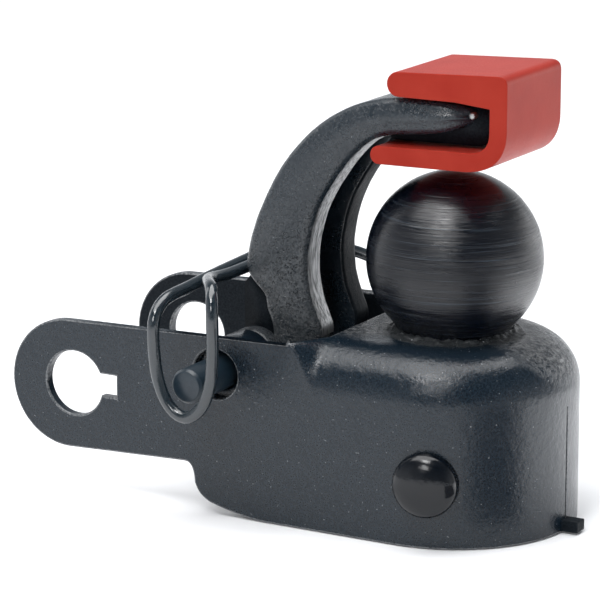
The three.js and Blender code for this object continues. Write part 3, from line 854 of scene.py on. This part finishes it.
def arm():
    """The cast arm with its hub, the core inside the cap and the lug behind the foot."""
    highlight_slot, shade_slot = 1, 2
    bm = bmesh.new()
    backs = catmull([(b[0], b[1], 0) for b, _ in ARM_STATIONS], 7)
    bellies = catmull([(v[0], v[1], 0) for _, v in ARM_STATIONS], 7)
    rings = []
    for back, belly in zip(backs, bellies):
        across = belly - back
        depth = across.length
        inward = across.normalized()
        mid_x = (back.x + belly.x) / 2
        tip = min(max((mid_x - TAPER_FROM_X) / TAPER_LENGTH, 0.0), 0.995)
        half = ARM_HALF * (1 - tip ** 3) ** 0.5
        cut = max(depth - ARM_WEB, 0.0) * (1 - smoothstep(*CHANNEL_FADE_X, mid_x))
        ring = []
        for w, d in arm_section(half, depth, cut):
            p = back + inward * d
            wave = ARM_WAVE * noise.noise(Vector((p.x, w, p.y)) * ARM_WAVE_RATE)
            ring.append(bm.verts.new((p.x + inward.x * wave, w, p.y + inward.y * wave)))
        rings.append(ring)
    skin(bm, rings)
    # Faces that look across the arm keep its paint. On the belly, the front flange gets a painted
    # highlight and the rear flange gets painted shade.
    for face in bm.faces:
        middle = face.calc_center_median()
        front_flange = -ARM_HALF + STRIP_MARGIN < middle.y < -CHANNEL_HALF - 0.4
        rear_flange = middle.y > CHANNEL_HALF
        face.normal_update()
        sideways = abs(face.normal.y)
        if front_flange and middle.z > HIGHLIGHT_FROM_Z and sideways < 0.55 and is_belly(middle):
            face.material_index = highlight_slot
        elif rear_flange and sideways < 0.9 and is_belly(middle):
            face.material_index = shade_slot
    bm.faces.new(list(reversed(rings[0])))
    bm.faces.new(rings[-1])
    hub = [(0, -ARM_HALF), (HUB_R - HUB_CHAMFER, -ARM_HALF), (HUB_R, -ARM_HALF + HUB_CHAMFER),
           (HUB_R, ARM_HALF - HUB_CHAMFER), (HUB_R - HUB_CHAMFER, ARM_HALF), (0, ARM_HALF)]
    lathe(bm, hub, along_y(PIN_X, PIN_Z), 48)
    core = [(-15, 108.7), (11, 109.3)]
    core += quad_curve((11, 109.3), (18.0, 109.7), (18.0, 114.8), 10)
    core += [(18.0, 120.2), (8, 121.3), (-15, 118)]
    lug = [(-61.8, PIN_Z), (-50, 36), (-50, 66), (-59, 66), (-61.8, 62.5)]
    for outline, half in ((core, CORE_HALF), (lug, LUG_HALF)):
        plate = prism(outline, -half, half, upright)
        bmesh.ops.bevel(plate, geom=list(plate.edges), offset=0.5, segments=2, affect="EDGES")
        mesh = bpy.data.meshes.new("arm_plate")
        # the core and the lug get painted shade
        for face in plate.faces:
            face.material_index = shade_slot
        plate.to_mesh(mesh)
        plate.free()
        bm.from_mesh(mesh)
        bpy.data.meshes.remove(mesh)
    obj = piece("arm", bm, CAST, "keeper", ["keeper_arm"])
    obj.data.materials.append(HIGHLIGHT_STEEL)
    obj.data.materials.append(PAINTED_SHADE)


def cap():
    """The U-shaped cap. Its outline goes along the inside and back round the outside."""
    outline = [(-9.5, 122), (8, 122), (18.6, 121), (18.6, 114.5)]
    outline += quad_curve((18.6, 114.5), (18.6, 108.7), (12.5, 108.5), 10)
    outline.append((-15.5, 107.8))
    outline += arc(-15.5, 105.2, 2.6, math.pi / 2, math.pi * 1.5, 14)
    outline.append((10, 103))
    outline += quad_curve((10, 103), (23.9, 103.2), (23.9, 115.3), 16)
    outline.append((23.9, 127.5))
    outline += quad_curve((23.9, 127.5), (23.9, 130.3), (21, 130.3), 8)
    outline.append((-9.3, 129))
    outline += arc(-9.5, 125.5, 3.5, math.pi / 2, math.pi * 1.5, 14)
    bm = prism(outline[:-1], -CAP_HALF, CAP_HALF, upright)
    obj = piece("cap", bm, RED, "keeper", ["keeper_cap"])
    bevelled(obj, 0.7)


def cap_pin():
    """The small pin across the arm's tip."""
    bm = bmesh.new()
    chamfer = 0.3
    rim = CAP_PIN_R - chamfer
    end = CAP_PIN_HALF
    profile = [(0, -end), (rim, -end), (CAP_PIN_R, -end + chamfer),
               (CAP_PIN_R, end - chamfer), (rim, end), (0, end)]
    lathe(bm, profile, along_y(CAP_PIN_X, CAP_PIN_Z), 24)
    piece("cap_cross_pin", bm, ZINC, "keeper", ["cap_pin"])


# ---------- lock pin and bail ----------
def lock_pin():
    """The pin, from its chamfered tip to its head, and the washer under the head."""
    profile = [
        (0, PIN_TIP_Y + 0.05), (3.9, PIN_TIP_Y), (4.3, PIN_TIP_Y + 0.1), (PIN_R, PIN_TIP_Y + 0.9),
        (PIN_R, PIN_HEAD_Y), (PIN_HEAD_R - 0.8, PIN_HEAD_Y), (PIN_HEAD_R, PIN_HEAD_Y + 0.8),
        (PIN_HEAD_R, PIN_END_Y - 1.5), (PIN_HEAD_R - 0.6, PIN_END_Y - 0.4),
        (PIN_HEAD_R - 1.5, PIN_END_Y), (0, PIN_END_Y),
    ]
    bm = bmesh.new()
    lathe(bm, profile, along_y(PIN_X, PIN_Z), 64)
    obj = piece("pin", bm, PIN, "pin", ["lock_pin"])
    bevelled(obj, 0.15, angle=25, segments=2)
    ring = bmesh.new()
    lathe(ring, tube_profile(PIN_BORE_R, PIN_WASHER_R, *PIN_WASHER_Y, 0.25), along_y(PIN_X, PIN_Z))
    piece("head_washer", ring, ZINC, "pin", ["pin_washer"])


def spacers():
    """The two tubes that keep the arm in the middle of the pin."""
    near, far = SPACER_Y
    for name, lo, hi in (("front_spacer", -far, -near), ("rear_spacer", near, far)):
        bm = bmesh.new()
        lathe(bm, tube_profile(PIN_BORE_R, SPACER_R, lo, hi, 0.4), along_y(PIN_X, PIN_Z))
        piece(name + "_tube", bm, PAINT, "housing", [name])


# From the pin's head, behind the arm, round the loop in front of the pin's tip and back to the head.
BAIL_ROUTE = [
    (PIN_X - 3, BAIL_Y, PIN_Z), (PIN_X - 7, BAIL_Y, PIN_Z), (-66.8, BAIL_Y, PIN_Z + 0.8),
    (-67.6, BAIL_Y, PIN_Z + 3.5), (-67.6, BAIL_Y, 58), (-67, 44, 65.5),
    (BAIL_LEFT_X, 36, 68), (BAIL_LEFT_X, -5, 67.1), (BAIL_LEFT_X, -35, 65.6),
    (-65.7, -50, 64.3), (-65.5, BAIL_LOOP_Y, 60.5), (-65.5, BAIL_LOOP_Y, 50),
    (-64.1, BAIL_LOOP_Y, 42.3), (-61.1, BAIL_LOOP_Y, 36.3), (-56, BAIL_LOOP_Y, 33.1),
    (-50.4, BAIL_LOOP_Y, 36.6), (-47.4, BAIL_LOOP_Y, 44), (-46.6, BAIL_LOOP_Y, 52),
    (-46.7, BAIL_LOOP_Y, 65.5), (-49, -51, 69.8), (-56, -41, 69.3), (-61.3, -31.5, 67.8),
    (BAIL_RIGHT_X, -22, 66.8), (BAIL_RIGHT_X, 18, 66.8), (-60, 26, 66.6),
    (-51.5, 38.5, 62.5), (-47.8, 45, 58), (-47, BAIL_Y, 53), (-47, BAIL_Y, PIN_Z + 3.5),
    (-47.8, BAIL_Y, PIN_Z + 0.8), (PIN_X + 7, BAIL_Y, PIN_Z), (PIN_X + 3, BAIL_Y, PIN_Z),
]


def sweep(bm, path, radius, sides):
    """A round wire along the path, with its frame carried along so that it doesn't twist."""
    rings = []
    normal = None
    for i, p in enumerate(path):
        ahead = path[min(i + 1, len(path) - 1)]
        behind = path[max(i - 1, 0)]
        tangent = (ahead - behind).normalized()
        if normal is None:
            normal = tangent.orthogonal().normalized()
        normal = (normal - tangent * normal.dot(tangent)).normalized()
        side = tangent.cross(normal)
        ring = []
        for k in range(sides):
            a = 2 * math.pi * k / sides
            ring.append(bm.verts.new(p + (normal * math.cos(a) + side * math.sin(a)) * radius))
        rings.append(ring)
    skin(bm, rings)
    bm.faces.new(list(reversed(rings[0])))
    bm.faces.new(rings[-1])


def eased(points, spacing, rounds):
    """The path at even spacing, with its bends evened out."""
    even = [points[0]]
    left = spacing
    for a, b in zip(points, points[1:]):
        length = (b - a).length
        while left <= length:
            even.append(a.lerp(b, left / length))
            left += spacing
        left -= length
    even.append(points[-1])
    for _ in range(rounds):
        even = (even[:1]
                + [(a + 2 * b + c) / 4 for a, b, c in zip(even, even[1:], even[2:])]
                + even[-1:])
    return even


def bail():
    """The wire from the pin's head round to the front of its tip, and back."""
    bm = bmesh.new()
    sweep(bm, eased(catmull(BAIL_ROUTE, 12), 0.8, 10), BAIL_R, 24)
    piece("bail", bm, WIRE, "bail", ["bail_wire"])


housing()
weld_bead()
floor_plate()
backing_plate()
ball()
ball_stack()
rivet()
arm()
cap()
cap_pin()
lock_pin()
spacers()
bail()

spring_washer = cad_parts["ball_spring_washer"]
spring_washer.data.materials.clear()
spring_washer.data.materials.append(ZINC)


# ---------- studio ----------
def flat_sheet(name, corners, material):
    """A four-cornered sheet of the studio, with its corners given row by row."""
    mesh = bpy.data.meshes.new(name)
    mesh.from_pydata(corners, [], [(0, 1, 3, 2)])
    mesh.materials.append(material)
    obj = bpy.data.objects.new(name, mesh)
    bpy.context.scene.collection.objects.link(obj)
    return obj


def floor_material():
    """White paper that glows in a patch on the far right behind the object: painted light, which the nose
    and the ball mirror.
    """
    n = Nodes("studio_floor")
    colour = n.mix(n.span(n.noise(400, 2), 0, 1), (0.84, 0.85, 0.87), (0.88, 0.88, 0.89))
    # a glowing patch behind the object on the far right: painted light for the nose and the ball to
    # mirror
    glow = n.span(n.distance(at(195, 80, 0)), 1.7, 0.05, 0.10, 0.17)
    # keeps the paper white to the horizon
    far_off = n.span(n.distance(at(-40, 0, 0)), 0.0, 0.8, 0.5, 1.8)
    glow = n.math("MAXIMUM", glow, far_off)
    return n.set(Base_Color=colour, Roughness=0.9, Specular_IOR_Level=0.1,
                 Emission_Color=(0.97, 0.98, 1.0, 1), Emission_Strength=glow)


def area_light(name, location, target, size, power):
    """A rectangular softbox, aimed at the target."""
    data = bpy.data.lights.new(name, "AREA")
    data.shape = "RECTANGLE"
    data.size, data.size_y = size
    data.energy = power
    obj = bpy.data.objects.new(name, data)
    obj.location = location
    obj.rotation_euler = (target - obj.location).to_track_quat("-Z", "Y").to_euler()
    bpy.context.scene.collection.objects.link(obj)


# These, and the places and sizes of the lights, are metres.
PAPER_HALF = 6.0
PAPER_GAP = 0.0002  # the paper lies this far under the object
ends = (-PAPER_HALF, PAPER_HALF)
paper = flat_sheet("studio_floor", [(x, y, 0) for y in ends for x in ends], floor_material())
paper.location.z = -PAPER_GAP

CENTRE = at(-40, 0, 55)
SOFTBOXES = (  # name, place from the object's middle, width and height, watts
    ("top_softbox", (-0.1, 0.03, 1.05), (1.6, 0.95), 21),
    ("crown_softbox", (0.07, -0.62, 0.86), (0.3, 0.22), 3.4),
    ("left_softbox", (-1.0, 0.1, 0.5), (0.3, 0.9), 1.6),
    ("front_softbox", (0.14, -1.05, 0.58), (0.3, 0.24), 2.2),
    ("rim_softbox", (0.5, 0.87, 0.12), (0.7, 0.3), 1),
)
for name, place, size, power in SOFTBOXES:
    area_light(name, CENTRE + Vector(place), CENTRE, size, power)

# A dark card that shows only in reflections, where it darkens the foot of the nose.
card_paint = Nodes("studio_dark_card").set(Base_Color=(0.16, 0.16, 0.17, 1), Roughness=0.9)
card_corners = [at(x, y, 0.5) for x, y in ((36, -50), (200, -215), (52, -18), (310, -15))]
card = flat_sheet("studio_dark_card", card_corners, card_paint)
card.visible_camera = False
card.visible_shadow = False
card.visible_diffuse = False


FRONT_OF_ROOM = (0.485, -0.845, 0.225)  # a direction from the object


def sky():
    """Bright near the horizon and dim overhead, so that the softboxes shape the highlights."""
    world = bpy.data.worlds.new("studio")
    world.use_nodes = True
    tree = world.node_tree
    coords = tree.nodes.new("ShaderNodeTexCoord")
    split = tree.nodes.new("ShaderNodeSeparateXYZ")
    ramp = tree.nodes.new("ShaderNodeValToRGB")
    ramp.color_ramp.elements[0].position = 0.12
    ramp.color_ramp.elements[0].color = (0.75, 0.77, 0.80, 1)
    ramp.color_ramp.elements[1].position = 0.6
    ramp.color_ramp.elements[1].color = (0.16, 0.17, 0.18, 1)
    tree.links.new(coords.outputs["Generated"], split.inputs["Vector"])
    tree.links.new(split.outputs["Z"], ramp.inputs["Fac"])
    tree.links.new(ramp.outputs["Color"], tree.nodes["Background"].inputs["Color"])
    # the front of the room is darker than its back
    towards = tree.nodes.new("ShaderNodeVectorMath")
    towards.operation = "DOT_PRODUCT"
    towards.inputs[1].default_value = FRONT_OF_ROOM
    dim = tree.nodes.new("ShaderNodeMapRange")
    for key, number in (("From Min", 0.55), ("From Max", 0.95), ("To Min", 1.0), ("To Max", 0.3)):
        dim.inputs[key].default_value = number
    tree.links.new(coords.outputs["Generated"], towards.inputs[0])
    tree.links.new(towards.outputs["Value"], dim.inputs["Value"])
    tree.links.new(dim.outputs["Result"], tree.nodes["Background"].inputs["Strength"])
    return world


bpy.context.scene.world = sky()
bpy.context.scene.view_settings.view_transform = "Standard"

# ---------- camera ----------
CAMERA_AZIMUTH = math.radians(29.78)
CAMERA_ELEVATION = math.radians(13.70)
CAMERA_DISTANCE = 962.1
CAMERA_LENS = 199.6
SENSOR_WIDTH = 36
LOOK_AT = Vector((-50.1, 0, 56.2))
toward_camera = Vector((
    math.sin(CAMERA_AZIMUTH) * math.cos(CAMERA_ELEVATION),
    -math.cos(CAMERA_AZIMUTH) * math.cos(CAMERA_ELEVATION),
    math.sin(CAMERA_ELEVATION),
))
camera_data = bpy.data.cameras.new("camera")
camera_data.lens = CAMERA_LENS
camera_data.sensor_width = SENSOR_WIDTH
camera = bpy.data.objects.new("camera", camera_data)
camera.location = at(*(LOOK_AT + toward_camera * CAMERA_DISTANCE))
camera.rotation_euler = (-toward_camera).to_track_quat("-Z", "Y").to_euler()
bpy.context.scene.collection.objects.link(camera)
bpy.context.scene.camera = camera
